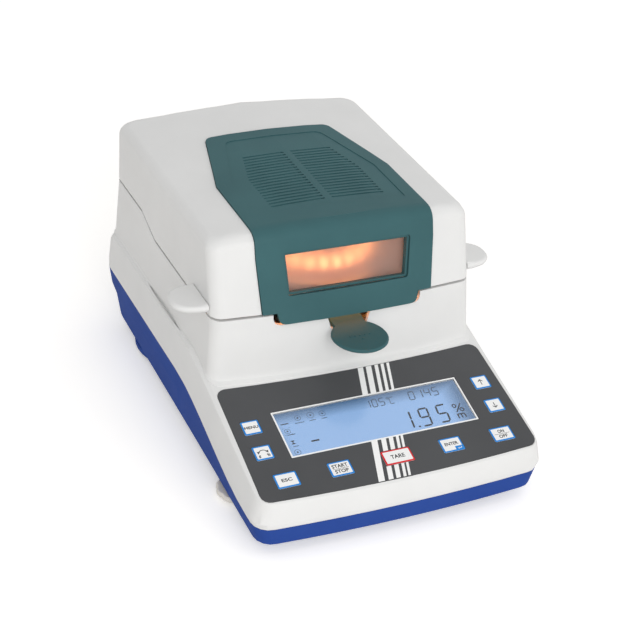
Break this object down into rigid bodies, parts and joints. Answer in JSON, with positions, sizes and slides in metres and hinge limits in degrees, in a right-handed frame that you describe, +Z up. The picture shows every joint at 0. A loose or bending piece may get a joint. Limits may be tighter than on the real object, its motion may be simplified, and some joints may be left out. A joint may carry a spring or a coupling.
{
  "type": "moisture analyzer",
  "caption": "Halogen drying balance: sloped keypad with display, and a hinged heating hood with a lamp window over a pan on a weighing cell.",
  "frame": {"origin": "on the bench, under the middle of the instrument's length and width", "axes": "+Z up, -Y to the front where the keypad is, +X to the right of someone who stands in front"},
  "size_m": [0.2732, 0.3684, 0.1978],
  "materials": {
    "white_abs": "fine-textured white ABS",
    "blue_abs": "fine-textured blue ABS",
    "green_abs": "fine-textured dark green ABS",
    "foil_grey": "printed satin keypad foil",
    "display_blue": "backlit display",
    "clear_lens": "clear",
    "steel": "brushed stainless",
    "aluminium": "satin",
    "rubber": "matt",
    "beige_nylon": "moulded nylon",
    "black_plastic": "moulded",
    "board_green": "solder mask",
    "ceramic": "unglazed ceramic",
    "lamp_quartz": "glowing quartz tube"
  },
  "bodies": {
    "base": {"base_tray": "blue_abs", "main_housing": "white_abs", "keypad_foil": "foil_grey", "display_window": "clear_lens", "lcd_module": "display_blue", "keypad_board": "board_green", "chamber_deck": "steel", "chamber_well": "steel", "heat_shield": "steel", "draught_ring": "aluminium", "bubble_level": "clear_lens", "cell_plate": "aluminium", "load_cell": "aluminium", "rear_foot_left": "rubber", "rear_foot_right": "rubber", "hinge_bracket_left": "steel", "hinge_bracket_right": "steel", "hinge_pin_left": "steel", "hinge_pin_right": "steel", "mains_inlet": "black_plastic", "serial_port": "steel", "main_board": "board_green", "power_supply": "board_green"},
    "hood": {"hood_shell": "white_abs", "hood_insert": "green_abs", "window_frame": "green_abs", "window_pane": "clear_lens", "hood_inner_cover": "steel", "lamp_glass": "clear_lens", "glass_clamp_ring": "steel", "halogen_lamp": "lamp_quartz", "lamp_holder_left": "ceramic", "lamp_holder_right": "ceramic", "reflector": "steel", "temperature_probe": "steel", "lift_tab_left": "white_abs", "lift_tab_right": "white_abs", "hood_hinge_leaf_left": "steel", "hood_hinge_leaf_right": "steel"},
    "key_menu": {"key_menu": "white_abs"},
    "key_unit": {"key_unit": "white_abs"},
    "key_up": {"key_up": "white_abs"},
    "key_down": {"key_down": "white_abs"},
    "key_tare": {"key_tare": "white_abs"},
    "key_esc": {"key_esc": "white_abs"},
    "key_start_stop": {"key_start_stop": "white_abs"},
    "key_enter": {"key_enter": "white_abs"},
    "key_on_off": {"key_on_off": "white_abs"},
    "weighing_support": {"pan_support": "aluminium"},
    "lifter": {"pan_lifter": "green_abs"},
    "pan": {"sample_pan": "aluminium"},
    "foot_left": {"foot_pad_left": "rubber"},
    "wheel_left": {"levelling_wheel_left": "beige_nylon", "levelling_stud_left": "steel"},
    "foot_right": {"foot_pad_right": "rubber"},
    "wheel_right": {"levelling_wheel_right": "beige_nylon", "levelling_stud_right": "steel"},
    "fuse_drawer": {"fuse_drawer": "black_plastic"}
  },
  "joints": [
    {"name": "hood_hinge", "type": "hinge", "parent": "base", "child": "hood", "pos_m": [0, 0.1814, 0.1396], "axis": [-1, 0, 0], "range_deg": [0, 62]},
    {"name": "key_menu_press", "type": "slide", "parent": "base", "child": "key_menu", "axis": [0, 0.2588, -0.9659], "range_m": [0, 0.0005], "stiffness_N_per_m": 2500},
    {"name": "key_unit_press", "type": "slide", "parent": "base", "child": "key_unit", "axis": [0, 0.2588, -0.9659], "range_m": [0, 0.0005], "stiffness_N_per_m": 2500},
    {"name": "key_up_press", "type": "slide", "parent": "base", "child": "key_up", "axis": [0, 0.2588, -0.9659], "range_m": [0, 0.0005], "stiffness_N_per_m": 2500},
    {"name": "key_down_press", "type": "slide", "parent": "base", "child": "key_down", "axis": [0, 0.2588, -0.9659], "range_m": [0, 0.0005], "stiffness_N_per_m": 2500},
    {"name": "key_tare_press", "type": "slide", "parent": "base", "child": "key_tare", "axis": [0, 0.2588, -0.9659], "range_m": [0, 0.0005], "stiffness_N_per_m": 2500},
    {"name": "key_esc_press", "type": "slide", "parent": "base", "child": "key_esc", "axis": [0, 0.2588, -0.9659], "range_m": [0, 0.0005], "stiffness_N_per_m": 2500},
    {"name": "key_start_stop_press", "type": "slide", "parent": "base", "child": "key_start_stop", "axis": [0, 0.2588, -0.9659], "range_m": [0, 0.0005], "stiffness_N_per_m": 2500},
    {"name": "key_enter_press", "type": "slide", "parent": "base", "child": "key_enter", "axis": [0, 0.2588, -0.9659], "range_m": [0, 0.0005], "stiffness_N_per_m": 2500},
    {"name": "key_on_off_press", "type": "slide", "parent": "base", "child": "key_on_off", "axis": [0, 0.2588, -0.9659], "range_m": [0, 0.0005], "stiffness_N_per_m": 2500},
    {"name": "weighing_travel", "type": "slide", "parent": "base", "child": "weighing_support", "axis": [0, 0, -1], "range_m": [0, 0.0003], "stiffness_N_per_m": 20000},
    {"name": "lifter_lift", "type": "slide", "parent": "base", "child": "lifter", "axis": [0, 0, 1], "range_m": [0, 0.003]},
    {"name": "pan_travel", "type": "slide", "parent": "lifter", "child": "pan", "axis": [0, 0, -1], "range_m": [0, 0.0003]},
    {"name": "foot_height_left", "type": "slide", "parent": "base", "child": "foot_left", "axis": [0, 0, -1], "range_m": [0, 0.0012]},
    {"name": "wheel_turn_left", "type": "hinge", "parent": "foot_left", "child": "wheel_left", "pos_m": [-0.102, -0.1017, 0.005], "axis": [0, 0, 1], "range_deg": [-2, 352]},
    {"name": "foot_height_right", "type": "slide", "parent": "base", "child": "foot_right", "axis": [0, 0, -1], "range_m": [0, 0.0012]},
    {"name": "wheel_turn_right", "type": "hinge", "parent": "foot_right", "child": "wheel_right", "pos_m": [0.102, -0.1017, 0.005], "axis": [0, 0, 1], "range_deg": [-2, 352]},
    {"name": "fuse_drawer_slide", "type": "slide", "parent": "base", "child": "fuse_drawer", "axis": [0, 1, 0], "range_m": [0, 0.012]}
  ],
  "couplings": [
    {"joint": "pan_travel", "follows": "weighing_travel", "ratio": 1},
    {"joint": "wheel_turn_left", "follows": "foot_height_left", "rad_per_m": 5026.5},
    {"joint": "wheel_turn_right", "follows": "foot_height_right", "rad_per_m": 5026.5}
  ]
}
